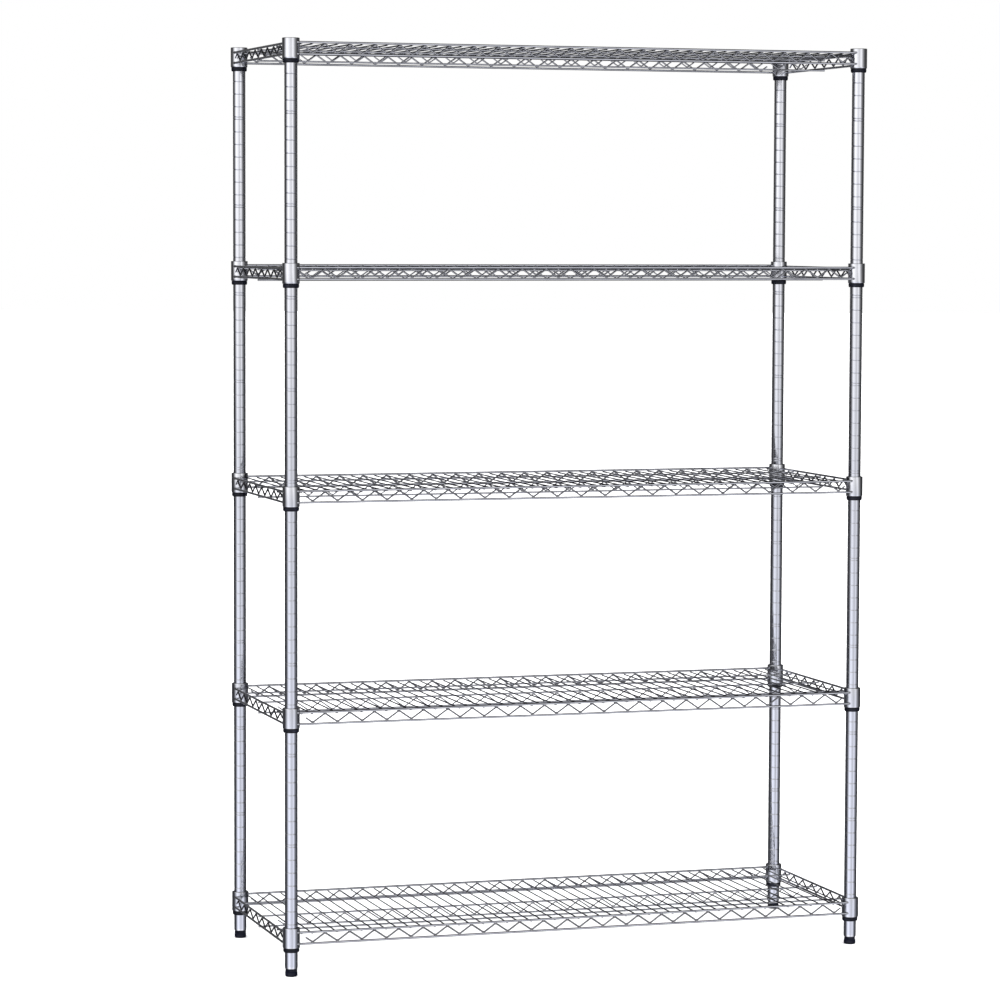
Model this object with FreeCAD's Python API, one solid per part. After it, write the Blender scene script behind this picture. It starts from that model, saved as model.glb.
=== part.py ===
import FreeCAD, Part

import math
import os

from FreeCAD import Vector

# Five-shelf welded-wire storage rack of the 48 x 18 x 72 inch class, sizes in millimetres.
# +X runs along the shelves, the front faces -Y, +Z is up and the floor is z = 0.
# Four grooved tube posts stand on levelling feet. Each shelf is a welded wire frame whose
# four corner collars drop over split tapered sleeves that are snapped onto the posts.

# overall layout
SHELF_LENGTH = 1214.0
SHELF_DEPTH = 455.0
SHELF_COUNT = 5
GROOVE_PITCH = 25.4
GROOVES_PER_BAY = 17
SHELF_PITCH = GROOVE_PITCH * GROOVES_PER_BAY
FIRST_SHELF_Z = 56.0

# posts
POST_R = 12.7
POST_BORE_R = 11.5
POST_BOTTOM_Z = 15.0
POST_TAPER_H = 4.5
POST_TAPER_R = 12.05
POST_BELOW_RIM = 2.0
GROOVE_R = 12.25
GROOVE_HALF_W = 1.0
GROOVE_OVER_SHELF = 22.2
MARKER_EVERY = 7
MARKER_OFFSET = 4.8

# corner collars, heights measured from the collar's lower rim
COLLAR_R = 17.0
COLLAR_H = 40.0
COLLAR_BORE_LOW = 15.3
COLLAR_BORE_TOP = 14.1
COLLAR_RIM_R = 15.95
COLLAR_TAPER_H = 4.5
COLLAR_EDGE = 0.8

# split sleeves between post and collar
SLEEVE_BORE_R = 12.8
SLEEVE_BELOW = 8.0
SLEEVE_TOP = 39.0
SLEEVE_LIP_R = 15.8
SLEEVE_LOW_R = 15.0
SLEEVE_TOP_R = 13.8
SLEEVE_KEY_R = 12.5
SLEEVE_KEY_HALF_W = 0.6
SLEEVE_GAP_DEG = 4.5
SEAT_GAP = 0.3

# wires of a shelf, heights measured from the collar's lower rim
RAIL_R = 2.2
RIB_R = 1.4
RUNNER_R = 1.8
SNAKE_R = 1.5
INNER_SNAKE_R = 1.3
RAIL_OFFSET = 12.4
FRONT_RAIL_TOP = 31.5
FRONT_RAIL_LOW = 9.0
SIDE_RAIL_TOP = 29.5
SIDE_RAIL_LOW = 8.5
RIB_Z = 28.55
RIB_PITCH = 25.0
RIB_SIDE_COUNT = 23
END_RIB_X = 571.5
RUNNER_Z = 25.55
RUNNER_Y = 150.0
INNER_TOP = 25.45
INNER_LOW = 4.55
WELD = 0.2
SNAKE_PITCH = 50.0
SNAKE_BEND = 5.0
SNAKE_TAIL = 14.0

# levelling feet
PAD_R = 12.0
PAD_H = 9.2
STUD_R = 4.7625
STUD_ROOT_R = 4.2
STUD_FIT = 0.05
STUD_BOTTOM_Z = 2.3
STUD_TOP_Z = 50.0
THREAD_PITCH = 1.5875
ADJUSTER_LOW = 9.5
ADJUSTER_TOP = 14.7
ADJUSTER_CORNER_R = 12.3
ADJUSTER_ROUND_R = 11.8
INSERT_R = 11.42
INSERT_TOP_Z = 34.0

# post caps
CAP_PLUG_R = 11.42
CAP_PLUG_H = 12.0
CAP_T = 1.6

POST_X = SHELF_LENGTH / 2 - COLLAR_R
POST_Y = SHELF_DEPTH / 2 - COLLAR_R
RAIL_X = POST_X + RAIL_OFFSET
RAIL_Y = POST_Y + RAIL_OFFSET
SHELF_Z = [FIRST_SHELF_Z + i * SHELF_PITCH for i in range(SHELF_COUNT)]
RIM_Z = SHELF_Z[-1] + COLLAR_H
POST_TOP_Z = RIM_Z - POST_BELOW_RIM

# name, centre and the direction in which the sleeve's split faces
POSTS = [
    ("front_left", -POST_X, -POST_Y, 20.0),
    ("front_right", POST_X, -POST_Y, -35.0),
    ("rear_left", -POST_X, POST_Y, -72.0),
    ("rear_right", POST_X, POST_Y, 40.0),
]

os.makedirs("parts", exist_ok=True)


def save(name, shape):
    """Write one named piece and print its size."""
    if not shape.isValid():
        print("NOT VALID", name)
    shape.exportStep("parts/%s.step" % name)
    box = shape.BoundBox
    print(
        "%-26s solids %3d  volume %10.1f  z %8.2f to %8.2f"
        % (name, len(shape.Solids), shape.Volume, box.ZMin, box.ZMax)
    )


def turned(points, degrees=360.0, start=0.0):
    """Solid of revolution about Z from (radius, height) corners."""
    corners = [Vector(r, 0, z) for r, z in points]
    face = Part.Face(Part.makePolygon(corners + corners[:1]))
    solid = face.revolve(Vector(0, 0, 0), Vector(0, 0, 1), degrees)
    if start:
        solid.rotate(Vector(0, 0, 0), Vector(0, 0, 1), start)
    return solid


def placed(shape, x, y, z=0.0):
    """A moved copy."""
    copy = shape.copy()
    copy.translate(Vector(x, y, z))
    return copy


def rod(start, end, radius):
    """Straight round wire between two points."""
    a = Vector(*start)
    b = Vector(*end)
    return Part.makeCylinder(radius, (b - a).Length, a, b - a)


def bent_wire(points, bend, radius):
    """Round wire along straight runs joined by tangent arcs of one bend radius."""
    pts = [Vector(*p) for p in points]
    edges = []
    here = pts[0]
    for before, corner, after in zip(pts, pts[1:], pts[2:]):
        to_a = (before - corner).normalize()
        to_b = (after - corner).normalize()
        half = to_a.getAngle(to_b) / 2
        reach = bend / math.tan(half)
        middle = (to_a + to_b).normalize() * (bend / math.sin(half) - bend)
        start = corner + to_a * reach
        end = corner + to_b * reach
        edges.append(Part.LineSegment(here, start).toShape())
        edges.append(Part.Arc(start, corner + middle, end).toShape())
        here = end
    edges.append(Part.LineSegment(here, pts[-1]).toShape())
    path = Part.Wire(edges)
    section = Part.Wire([Part.makeCircle(radius, pts[0], pts[1] - pts[0])])
    solid = path.makePipeShell([section], True, False)
    ideal = math.pi * radius**2 * path.Length
    print("  snake wire: volume over ideal %.4f" % (solid.Volume / ideal))
    return solid


def snake_heights(low, top, half_pitch, bend):
    """Corner heights that put the bends' crests at the wanted low and top."""
    extra = 0.0
    for _ in range(30):
        rise = top - low + 2 * extra
        lean = math.atan2(rise, half_pitch)
        extra = bend / math.cos(lean) - bend
    return low - extra, top + extra


def snake_points(first, count, low, top):
    """Zigzag corners as (distance, height), from -first to first, low crest first or last."""
    low_corner, top_corner = snake_heights(low, top, SNAKE_PITCH / 2, SNAKE_BEND)
    points = []
    for i in range(count):
        at = -first + i * SNAKE_PITCH / 2
        is_top = round(abs(at) / (SNAKE_PITCH / 2)) % 2 == 1
        points.append((at, top_corner if is_top else low_corner))
    (a0, h0), (a1, h1) = points[0], points[1]
    share = SNAKE_TAIL / (SNAKE_PITCH / 2)
    tail = (a0 - SNAKE_TAIL, h0 + (h1 - h0) * share)
    mirrored = (-tail[0], tail[1])
    return [tail] + points + [mirrored]


def collar_plugs():
    """Four plugs that trim rail ends to the collars' round outer faces."""
    plugs = []
    for _, x, y, _ in POSTS:
        plugs.append(placed(Part.makeCylinder(COLLAR_R, COLLAR_H + 20), x, y, -10))
    return Part.makeCompound(plugs)


def truss(along_x, across, top, low, crest_reach, crest_count):
    """Edge truss: two rails from collar to collar with a zigzag wire welded between them."""
    reach = POST_X if along_x else POST_Y

    def at(distance, height):
        if along_x:
            return (distance, across, height)
        return (across, distance, height)

    rails = [rod(at(-reach, h), at(reach, h), RAIL_R) for h in (low, top)]
    rails = [r.cut(collar_plugs()) for r in rails]
    inset = RAIL_R + SNAKE_R - WELD
    corners = snake_points(crest_reach, crest_count, low + inset, top - inset)
    snake = bent_wire([at(d, h) for d, h in corners], SNAKE_BEND, SNAKE_R)
    return rails[0].multiFuse([rails[1], snake])


def build_shelf():
    """The seven welded sub-assemblies of one shelf, with its collar rims at z = 0."""
    collar = turned(
        [
            (COLLAR_BORE_LOW, 0),
            (COLLAR_RIM_R, 0),
            (COLLAR_R, COLLAR_TAPER_H),
            (COLLAR_R, COLLAR_H - COLLAR_EDGE),
            (COLLAR_R - COLLAR_EDGE * 0.3, COLLAR_H - COLLAR_EDGE * 0.3),
            (COLLAR_R - COLLAR_EDGE, COLLAR_H),
            (COLLAR_BORE_TOP, COLLAR_H),
        ]
    )
    collars = Part.makeCompound([placed(collar, x, y) for _, x, y, _ in POSTS])

    # deck: ribs run front to back on top of two runners, all welded at the crossings
    rib_reach = RAIL_Y - SNAKE_R
    rib_x = [i * RIB_PITCH for i in range(-RIB_SIDE_COUNT + 1, RIB_SIDE_COUNT)]
    rib_x = [-END_RIB_X] + rib_x + [END_RIB_X]
    ribs = [rod((x, -rib_reach, RIB_Z), (x, rib_reach, RIB_Z), RIB_R) for x in rib_x]
    runner_reach = RAIL_X + 1.2
    runners = [
        rod((-runner_reach, y, RUNNER_Z), (runner_reach, y, RUNNER_Z), RUNNER_R)
        for y in (-RUNNER_Y, RUNNER_Y)
    ]
    deck = runners[0].multiFuse([runners[1]] + ribs)

    # inner truss under the middle of the deck
    wires = [
        rod((-runner_reach, 0, h), (runner_reach, 0, h), RUNNER_R)
        for h in (INNER_LOW, INNER_TOP)
    ]
    inset = RUNNER_R + INNER_SNAKE_R - WELD
    corners = snake_points(550.0, 45, INNER_LOW + inset, INNER_TOP - inset)
    snake = bent_wire([(d, 0, h) for d, h in corners], SNAKE_BEND, INNER_SNAKE_R)
    inner = wires[0].multiFuse([wires[1], snake])

    front = truss(True, -RAIL_Y, FRONT_RAIL_TOP, FRONT_RAIL_LOW, 550.0, 45)
    rear = truss(True, RAIL_Y, FRONT_RAIL_TOP, FRONT_RAIL_LOW, 550.0, 45)
    left = truss(False, -RAIL_X, SIDE_RAIL_TOP, SIDE_RAIL_LOW, 175.0, 15)
    right = truss(False, RAIL_X, SIDE_RAIL_TOP, SIDE_RAIL_LOW, 175.0, 15)
    return {
        "collars": collars,
        "deck": deck,
        "inner_truss": inner,
        "front_truss": front,
        "rear_truss": rear,
        "left_truss": left,
        "right_truss": right,
    }


def groove_heights():
    """Heights of the post's locating grooves, with a second groove at every marker."""
    heights = []
    index = -1
    while True:
        z = FIRST_SHELF_Z + GROOVE_OVER_SHELF + index * GROOVE_PITCH
        if z > POST_TOP_Z - 5:
            return heights
        heights.append(z)
        if index % MARKER_EVERY == 0 and z + MARKER_OFFSET < POST_TOP_Z - 5:
            heights.append(z + MARKER_OFFSET)
        index += 1


def build_post():
    """Tube with rolled locating grooves and a drawn-in lower end."""
    outline = [
        (POST_BORE_R, POST_BOTTOM_Z),
        (POST_TAPER_R, POST_BOTTOM_Z),
        (POST_TAPER_R + 0.25, POST_BOTTOM_Z + 0.6),
        (POST_R, POST_BOTTOM_Z + POST_TAPER_H),
    ]
    for z in groove_heights():
        outline.append((POST_R, z - GROOVE_HALF_W))
        outline.append((GROOVE_R, z - GROOVE_HALF_W * 0.45))
        outline.append((GROOVE_R, z + GROOVE_HALF_W * 0.45))
        outline.append((POST_R, z + GROOVE_HALF_W))
    outline.append((POST_R, POST_TOP_Z))
    outline.append((POST_BORE_R, POST_TOP_Z))
    return turned(outline)


def build_sleeve_half(split):
    """One half of the tapered sleeve; its inner key sits in a post groove."""
    key = GROOVE_OVER_SHELF
    outline = [
        (SLEEVE_BORE_R, -SLEEVE_BELOW),
        (SLEEVE_LIP_R - 1.3, -SLEEVE_BELOW),
        (SLEEVE_LIP_R - 0.3, -SLEEVE_BELOW + 1.4),
        (SLEEVE_LIP_R, -SLEEVE_BELOW + 3.5),
        (SLEEVE_LIP_R, -1.2),
        (SLEEVE_LIP_R - 0.5, -SEAT_GAP),
        (SLEEVE_LOW_R, -SEAT_GAP),
        (SLEEVE_TOP_R, SLEEVE_TOP),
        (SLEEVE_BORE_R, SLEEVE_TOP),
        (SLEEVE_BORE_R, key + SLEEVE_KEY_HALF_W),
        (SLEEVE_KEY_R, key + SLEEVE_KEY_HALF_W * 0.5),
        (SLEEVE_KEY_R, key - SLEEVE_KEY_HALF_W * 0.5),
        (SLEEVE_BORE_R, key - SLEEVE_KEY_HALF_W),
    ]
    return turned(outline, 180.0 - SLEEVE_GAP_DEG, split + SLEEVE_GAP_DEG / 2)


def build_stud():
    """Levelling stud: swivel end, six-sided adjuster and threaded shank."""
    outline = [(0, STUD_BOTTOM_Z), (STUD_R - 0.6, STUD_BOTTOM_Z), (STUD_R, STUD_BOTTOM_Z + 0.6)]
    z = ADJUSTER_TOP + 1.2
    while z + THREAD_PITCH < STUD_TOP_Z - 1.0:
        outline.append((STUD_R, z))
        outline.append((STUD_R, z + THREAD_PITCH * 0.2))
        outline.append((STUD_ROOT_R, z + THREAD_PITCH * 0.5))
        outline.append((STUD_R, z + THREAD_PITCH * 0.8))
        z += THREAD_PITCH
    outline += [(STUD_R, STUD_TOP_Z - 0.8), (STUD_R - 0.8, STUD_TOP_Z), (0, STUD_TOP_Z)]
    shank = turned(outline)
    corners = []
    for i in range(7):
        angle = math.radians(60 * i)
        corner = (ADJUSTER_CORNER_R * math.cos(angle), ADJUSTER_CORNER_R * math.sin(angle))
        corners.append(Vector(corner[0], corner[1], ADJUSTER_LOW))
    height = ADJUSTER_TOP - ADJUSTER_LOW
    hexagon = Part.Face(Part.makePolygon(corners)).extrude(Vector(0, 0, height))
    lathe = turned(
        [
            (0, ADJUSTER_LOW),
            (ADJUSTER_ROUND_R, ADJUSTER_LOW),
            (ADJUSTER_ROUND_R, ADJUSTER_TOP - 0.8),
            (ADJUSTER_ROUND_R - 0.8, ADJUSTER_TOP),
            (0, ADJUSTER_TOP),
        ]
    )
    return shank.fuse(hexagon.common(lathe))


def build_pad():
    """Round glide with a blind socket that the stud turns in."""
    return turned(
        [
            (0, 0),
            (PAD_R - 2.0, 0),
            (PAD_R - 0.6, 0.6),
            (PAD_R, 2.2),
            (PAD_R, PAD_H - 0.5),
            (PAD_R - 0.5, PAD_H),
            (STUD_R + STUD_FIT, PAD_H),
            (STUD_R + STUD_FIT, STUD_BOTTOM_Z - 0.3),
            (0, STUD_BOTTOM_Z - 0.3),
        ]
    )


def build_insert():
    """Threaded insert pressed into the lower end of a post."""
    return turned(
        [
            (STUD_R + STUD_FIT, POST_BOTTOM_Z),
            (INSERT_R, POST_BOTTOM_Z),
            (INSERT_R, INSERT_TOP_Z - 0.8),
            (INSERT_R - 0.8, INSERT_TOP_Z),
            (STUD_R + STUD_FIT, INSERT_TOP_Z),
        ]
    )


def build_cap():
    """Plug with a shallow domed head that closes the top of a post."""
    z = POST_TOP_Z
    return turned(
        [
            (0, z - CAP_PLUG_H),
            (CAP_PLUG_R - 1.0, z - CAP_PLUG_H),
            (CAP_PLUG_R, z - CAP_PLUG_H + 2.0),
            (CAP_PLUG_R, z),
            (POST_R - 0.1, z),
            (POST_R - 0.1, z + 0.5),
            (POST_R - 1.2, z + 1.1),
            (POST_R - 5.0, z + 1.5),
            (0, z + CAP_T),
        ]
    )


post = build_post()
for name, x, y, _ in POSTS:
    save("post_%s" % name, placed(post, x, y))

cap = build_cap()
save("post_caps", Part.makeCompound([placed(cap, x, y) for _, x, y, _ in POSTS]))
insert = build_insert()
save("foot_inserts", Part.makeCompound([placed(insert, x, y) for _, x, y, _ in POSTS]))

halves = []
for _, x, y, split in POSTS:
    for turn in (0.0, 180.0):
        halves.append(placed(build_sleeve_half(split + turn), x, y))
for level, z in enumerate(SHELF_Z, 1):
    moved = [placed(half, 0, 0, z) for half in halves]
    save("sleeves_%d" % level, Part.makeCompound(moved))

pad = build_pad()
stud = build_stud()
for name, x, y, _ in POSTS:
    save("foot_pad_%s" % name, placed(pad, x, y))
    save("foot_stud_%s" % name, placed(stud, x, y))

shelf = build_shelf()
for level, z in enumerate(SHELF_Z, 1):
    for part_name, shape in shelf.items():
        save("shelf_%d_%s" % (level, part_name), placed(shape, 0, 0, z))
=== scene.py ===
import math

import bmesh
import bpy
from mathutils import Matrix, Vector


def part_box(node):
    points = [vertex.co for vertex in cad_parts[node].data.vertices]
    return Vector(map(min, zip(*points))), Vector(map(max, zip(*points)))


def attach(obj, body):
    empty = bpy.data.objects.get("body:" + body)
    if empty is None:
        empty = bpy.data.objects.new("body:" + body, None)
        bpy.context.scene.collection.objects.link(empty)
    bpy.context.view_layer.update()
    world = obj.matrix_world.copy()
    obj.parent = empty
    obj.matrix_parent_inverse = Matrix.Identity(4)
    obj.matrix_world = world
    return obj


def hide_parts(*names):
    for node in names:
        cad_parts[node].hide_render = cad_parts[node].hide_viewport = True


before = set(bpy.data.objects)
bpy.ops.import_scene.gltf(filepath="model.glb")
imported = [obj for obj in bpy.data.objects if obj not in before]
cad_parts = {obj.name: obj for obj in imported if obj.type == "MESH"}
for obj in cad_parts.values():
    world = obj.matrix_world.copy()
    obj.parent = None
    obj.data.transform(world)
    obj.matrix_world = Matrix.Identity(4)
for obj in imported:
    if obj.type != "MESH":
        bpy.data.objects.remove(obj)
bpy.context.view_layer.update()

# %% [markdown]
# # A chromed wire rack, from tube and wire to finish
#
# The rack is four grooved tube posts, five welded wire shelves, black sleeves that clip
# round the posts, and screw-down feet. The measured model gives every place and size. The
# looks are built over it: each turned or bent part is drawn again by a rule, with the small
# roundings, welds and seams that make plated steel and moulded plastic look real.
#
# Nearly everything here repeats. Geometry Nodes suit that: one rule makes eighty grooves,
# forty-seven ribs or a zigzag of forty-five bends, and a change of one size changes them all.

# %% Sizes read from the measured parts
MM = 0.001
CORNERS = ("front_left", "rear_left", "front_right", "rear_right")
LEVELS = (1, 2, 3, 4, 5)


def middle(node):
    """Centre of a measured part's box."""
    low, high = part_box(node)
    return (low + high) / 2


post_x = middle("post_front_right").x
post_y = middle("post_rear_right").y
tube_low, tube_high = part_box("post_front_right")
tube_radius = (tube_high.x - tube_low.x) / 2
shelf_heights = {n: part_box(f"shelf_{n}_collars")[0].z for n in LEVELS}
collar_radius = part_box("shelf_1_collars")[1].x - post_x
print("posts at x %.4f and y %.4f, tube radius %.4f" % (post_x, post_y, tube_radius))
print("shelves at", [round(z, 4) for z in shelf_heights.values()], "collar radius %.4f" % collar_radius)

# %% [markdown]
# ## The camera
#
# It stands in front of the rack and a little to its left, at about the height of the fourth
# shelf, far back with a long lens, so that the posts stay nearly parallel. A camera's aim is
# easiest to give as the directions of its own right, up and back sides.

# %% Camera
# angles in radians: turned to the right, dipped, and rolled
turn, dip, tilt = 0.307604, 0.0718894, 0.003553
eye = Vector((-2.39110, -7.21671, 1.45475))
forward = Vector((math.sin(turn) * math.cos(dip), math.cos(turn) * math.cos(dip), -math.sin(dip)))
level_right = Vector((math.cos(turn), -math.sin(turn), 0.0))
level_up = level_right.cross(forward)
right = level_right * math.cos(tilt) + level_up * math.sin(tilt)
up = level_up * math.cos(tilt) - level_right * math.sin(tilt)

lens = bpy.data.cameras.new("long_lens")
lens.sensor_width = 36.0
lens.lens = 134.575
lens.clip_start, lens.clip_end = 0.1, 200.0
camera = bpy.data.objects.new("camera", lens)
bpy.context.scene.collection.objects.link(camera)
camera.matrix_world = Matrix((
    (right.x, up.x, -forward.x, eye.x),
    (right.y, up.y, -forward.y, eye.y),
    (right.z, up.z, -forward.z, eye.z),
    (0.0, 0.0, 0.0, 1.0),
))
bpy.context.scene.camera = camera
print("camera aims along", [round(v, 3) for v in forward], "through a lens of", lens.lens, "mm")

# %% [markdown]
# ## Helpers for nodes
#
# Materials and Geometry Nodes are both trees of nodes. One small function adds any node,
# changes its settings, and feeds its inputs from other nodes or from plain numbers. The
# others are short names for the kinds of node that are used most.


# %% Adding nodes
def feed(tree, node, inputs):
    """Give a node's inputs, by name or number, a value, a node, a socket or a list of those."""
    for key, value in dict(inputs).items():
        for source in value if isinstance(value, list) else [value]:
            if isinstance(source, bpy.types.Node):
                source = source.outputs[0]
            if isinstance(source, bpy.types.NodeSocket):
                tree.links.new(source, node.inputs[key])
            else:
                node.inputs[key].default_value = source


def add(tree, kind, inputs=(), **settings):
    """Add one node, with its settings made before its inputs are fed."""
    node = tree.nodes.new(kind)
    for setting, value in settings.items():
        setattr(node, setting, value)
    feed(tree, node, inputs)
    return node


def calc(tree, operation, *values):
    """A Math node on one, two or three values."""
    return add(tree, "ShaderNodeMath", enumerate(values), operation=operation)


def between(tree, value, low, high, new_low=0.0, new_high=1.0):
    """The value moved from one range to another, and held inside it."""
    return add(tree, "ShaderNodeMapRange", {0: value, 1: low, 2: high, 3: new_low, 4: new_high})


def vector(tree, **parts):
    """A vector with the given X, Y and Z, and zero for the ones left out."""
    return add(tree, "ShaderNodeCombineXYZ", parts)


def mix_colours(tree, share, first, second):
    """A mix of two colours; the node keeps them in its inputs 6 and 7, and the mix in its output 2."""
    return add(tree, "ShaderNodeMix", {0: share, 6: first, 7: second}, data_type="RGBA").outputs[2]


def colour(hex_code):
    """An sRGB hex colour as the linear numbers that Blender's nodes take."""
    parts = [int(hex_code[i : i + 2], 16) / 255 for i in (1, 3, 5)]
    linear = [p / 12.92 if p <= 0.04045 else ((p + 0.055) / 1.055) ** 2.4 for p in parts]
    return (*linear, 1.0)


print("middle grey #808080 is", [round(v, 3) for v in colour("#808080")], "in linear numbers")

# %% [markdown]
# ## Chrome on the posts and collars
#
# The posts are mild steel tube, polished along their length and then plated with nickel and
# bright chrome. Chrome is a true mirror with a cool grey body. What tells the eye that it is
# plated tube, and not glass, is faint: long buffing lines that run up the tube, a slow
# waviness of the wall, and small changes of gloss where hands and sleeves have rubbed.
#
# Buffing lines are about 0.3 mm wide on the real tube. They are drawn 1.5 mm wide, because
# finer ones would vanish in any view that shows the whole rack.


# %% Starting a material, and bright chrome
def start_material(title):
    """A new material with only a Principled shader and its output."""
    made = bpy.data.materials.new(title)
    made.use_nodes = True
    made.node_tree.nodes.clear()
    shader = add(made.node_tree, "ShaderNodeBsdfPrincipled")
    add(made.node_tree, "ShaderNodeOutputMaterial", {"Surface": shader})
    return made, made.node_tree, shader


def bright_chrome(title, tone, line_width, across, low_rough, high_rough):
    """Polished chrome whose buffing lines are line_width wide across the axes weighted 1."""
    made, tree, shader = start_material(title)
    place = add(tree, "ShaderNodeTexCoord").outputs["Object"]
    # squeezing the coordinates along the buffing direction draws the noise out into lines
    drawn = add(tree, "ShaderNodeMapping", {"Vector": place, "Scale": tuple(a / line_width for a in across)})
    lines = add(tree, "ShaderNodeTexNoise", {"Vector": drawn, "Scale": 0.5, "Detail": 2.0})
    # hand marks and plating clouds are about 60 mm across
    clouds = add(tree, "ShaderNodeTexNoise", {"Vector": place, "Scale": 1 / 0.060, "Detail": 3.0})
    worn = calc(tree, "MULTIPLY", lines, clouds)
    gloss = between(tree, worn, 0.12, 0.38, low_rough, high_rough)
    # a wall of drawn tube is never perfectly round: slow waves bend the reflections
    waves = add(tree, "ShaderNodeTexNoise", {"Vector": place, "Scale": 1 / 0.045, "Detail": 1.0})
    wavy = add(tree, "ShaderNodeBump", {"Height": waves, "Strength": 0.10, "Distance": 0.8 * MM})
    buffed = {"Height": lines, "Normal": wavy, "Strength": 0.05, "Distance": 0.1 * MM}
    fine = add(tree, "ShaderNodeBump", buffed)
    feed(tree, shader, {"Base Color": colour(tone), "Metallic": 1.0, "Roughness": gloss, "Normal": fine})
    return made


tube_chrome = bright_chrome("polished_tube_chrome", "#DADBE2", 1.5 * MM, (1, 1, 0.02), 0.04, 0.11)
collar_chrome = bright_chrome("polished_collar_chrome", "#DADBE1", 2.0 * MM, (0.1, 0.1, 1), 0.05, 0.13)
print("made", tube_chrome.name, "and", collar_chrome.name)

# %% [markdown]
# ## Plating on the wires and welds
#
# The shelf wires are drawn steel, welded first and then plated on racks. Drawn wire has a
# slightly pulled grain, and plating that reaches the inside of a shelf is thinner, so the
# wires are greyer and less of a mirror than the posts. Where two wires are fused, the current
# squeezes out a small bead. It is plated over too, but it stays rough, so it catches light
# from every side and shows as a pale spot.


# %% Plated wire and plated welds
def plated_wire(title, tone, dull_tone, low_rough, high_rough, grain, depth):
    """Cloudy plating over a fine grain, grain metres wide and depth metres deep."""
    made, tree, shader = start_material(title)
    place = add(tree, "ShaderNodeTexCoord").outputs["Object"]
    clouds = add(tree, "ShaderNodeTexNoise", {"Vector": place, "Scale": 1 / 0.025, "Detail": 4.0})
    grains = add(tree, "ShaderNodeTexNoise", {"Vector": place, "Scale": 1 / grain, "Detail": 2.0})
    patchy = between(tree, clouds, 0.35, 0.65)
    tint = mix_colours(tree, patchy, colour(tone), colour(dull_tone))
    gloss = between(tree, clouds, 0.3, 0.7, low_rough, high_rough)
    bumps = add(tree, "ShaderNodeBump", {"Height": grains, "Strength": 0.25, "Distance": depth})
    feed(tree, shader, {"Base Color": tint, "Metallic": 1.0, "Roughness": gloss, "Normal": bumps})
    return made


wire_plating = plated_wire("plated_drawn_wire", "#CBCCD1", "#BABBC1", 0.06, 0.15, 0.9 * MM, 0.02 * MM)
weld_plating = plated_wire("plated_weld_bead", "#C6C6C8", "#A9A9AB", 0.28, 0.45, 0.7 * MM, 0.12 * MM)
zinc_plating = plated_wire("zinc_plated_thread", "#B4B8BA", "#A29F94", 0.25, 0.42, 0.8 * MM, 0.06 * MM)
print("made", wire_plating.name, weld_plating.name, zinc_plating.name)

# %% [markdown]
# ## Moulded black plastic
#
# The sleeves are injection-moulded polypropylene, the caps and feet harder nylon. Both are
# dyed black through and through, with a trace of blue. A mould with a spark-eroded face gives
# plastic a fine even grain of about 0.3 mm, and a soft sheen rather than a mirror. Edges that
# get handled or dragged go a little paler and smoother, which a slow noise stands for.


# %% Black plastic
PLASTIC_IOR = 1.49
GRAIN_DEPTH = 0.03 * MM


def moulded_black(title, tone, worn_tone, low_rough, high_rough, grain):
    """Dyed plastic with an eroded-mould grain and slightly paler worn patches."""
    made, tree, shader = start_material(title)
    place = add(tree, "ShaderNodeTexCoord").outputs["Object"]
    wear = add(tree, "ShaderNodeTexNoise", {"Vector": place, "Scale": 1 / 0.012, "Detail": 5.0})
    grains = add(tree, "ShaderNodeTexVoronoi", {"Vector": place, "Scale": 1 / grain})
    scuffed = between(tree, wear, 0.52, 0.75)
    tint = mix_colours(tree, scuffed, colour(tone), colour(worn_tone))
    gloss = between(tree, wear, 0.35, 0.7, high_rough, low_rough)
    bumps = add(tree, "ShaderNodeBump", {"Height": grains, "Strength": 0.3, "Distance": GRAIN_DEPTH})
    feed(tree, shader, {"Base Color": tint, "Roughness": gloss, "Normal": bumps})
    feed(tree, shader, {"IOR": PLASTIC_IOR, "Specular IOR Level": 0.25})
    return made


sleeve_black = moulded_black("moulded_polypropylene_black", "#090B15", "#1A1C28", 0.38, 0.55, 0.30 * MM)
foot_black = moulded_black("moulded_nylon_black", "#080A19", "#191D2E", 0.34, 0.50, 0.35 * MM)
cap_black = moulded_black("moulded_cap_black", "#101114", "#2A2B30", 0.36, 0.52, 0.30 * MM)
print("made", sleeve_black.name, foot_black.name, cap_black.name)

# %% [markdown]
# ## Geometry Nodes: starting a tree and keeping its result
#
# A tree needs named inputs, so that each size can be changed without opening it. Between its
# start and its end it places, copies, joins and shades geometry, so those have helpers too.
# The tree runs as a modifier. Its result is then stored as a plain mesh and the modifier is
# dropped, so what is kept is ordinary geometry that moves with the rack's own bodies.

# %% Trees and pieces
SOCKETS = {bool: "NodeSocketBool", int: "NodeSocketInt", float: "NodeSocketFloat", tuple: "NodeSocketVector"}


def start_tree(title, sizes):
    """A tree with one geometry output and a named input for each size; None stands for geometry."""
    tree = bpy.data.node_groups.new(title, "GeometryNodeTree")
    tree.interface.new_socket("Geometry", in_out="OUTPUT", socket_type="NodeSocketGeometry")
    for name, value in sizes.items():
        kind = "NodeSocketGeometry" if value is None else "NodeSocketMaterial"
        kind = SOCKETS.get(type(value), kind)
        socket = tree.interface.new_socket(name, in_out="INPUT", socket_type=kind)
        if value is not None:
            socket.default_value = value
    return tree, add(tree, "NodeGroupInput").outputs


def grid(tree, width, depth, columns, rows):
    """Points in rows and columns, centred on the origin."""
    sizes = {"Size X": width, "Size Y": depth, "Vertices X": columns, "Vertices Y": rows}
    return add(tree, "GeometryNodeMeshGrid", sizes)


def join(tree, *parts):
    """Several geometries as one."""
    return add(tree, "GeometryNodeJoinGeometry", {0: list(parts)})


def use(tree, group, inputs):
    """Another tree, used as one node of this one."""
    return add(tree, "GeometryNodeGroup", inputs, node_tree=group)


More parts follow.
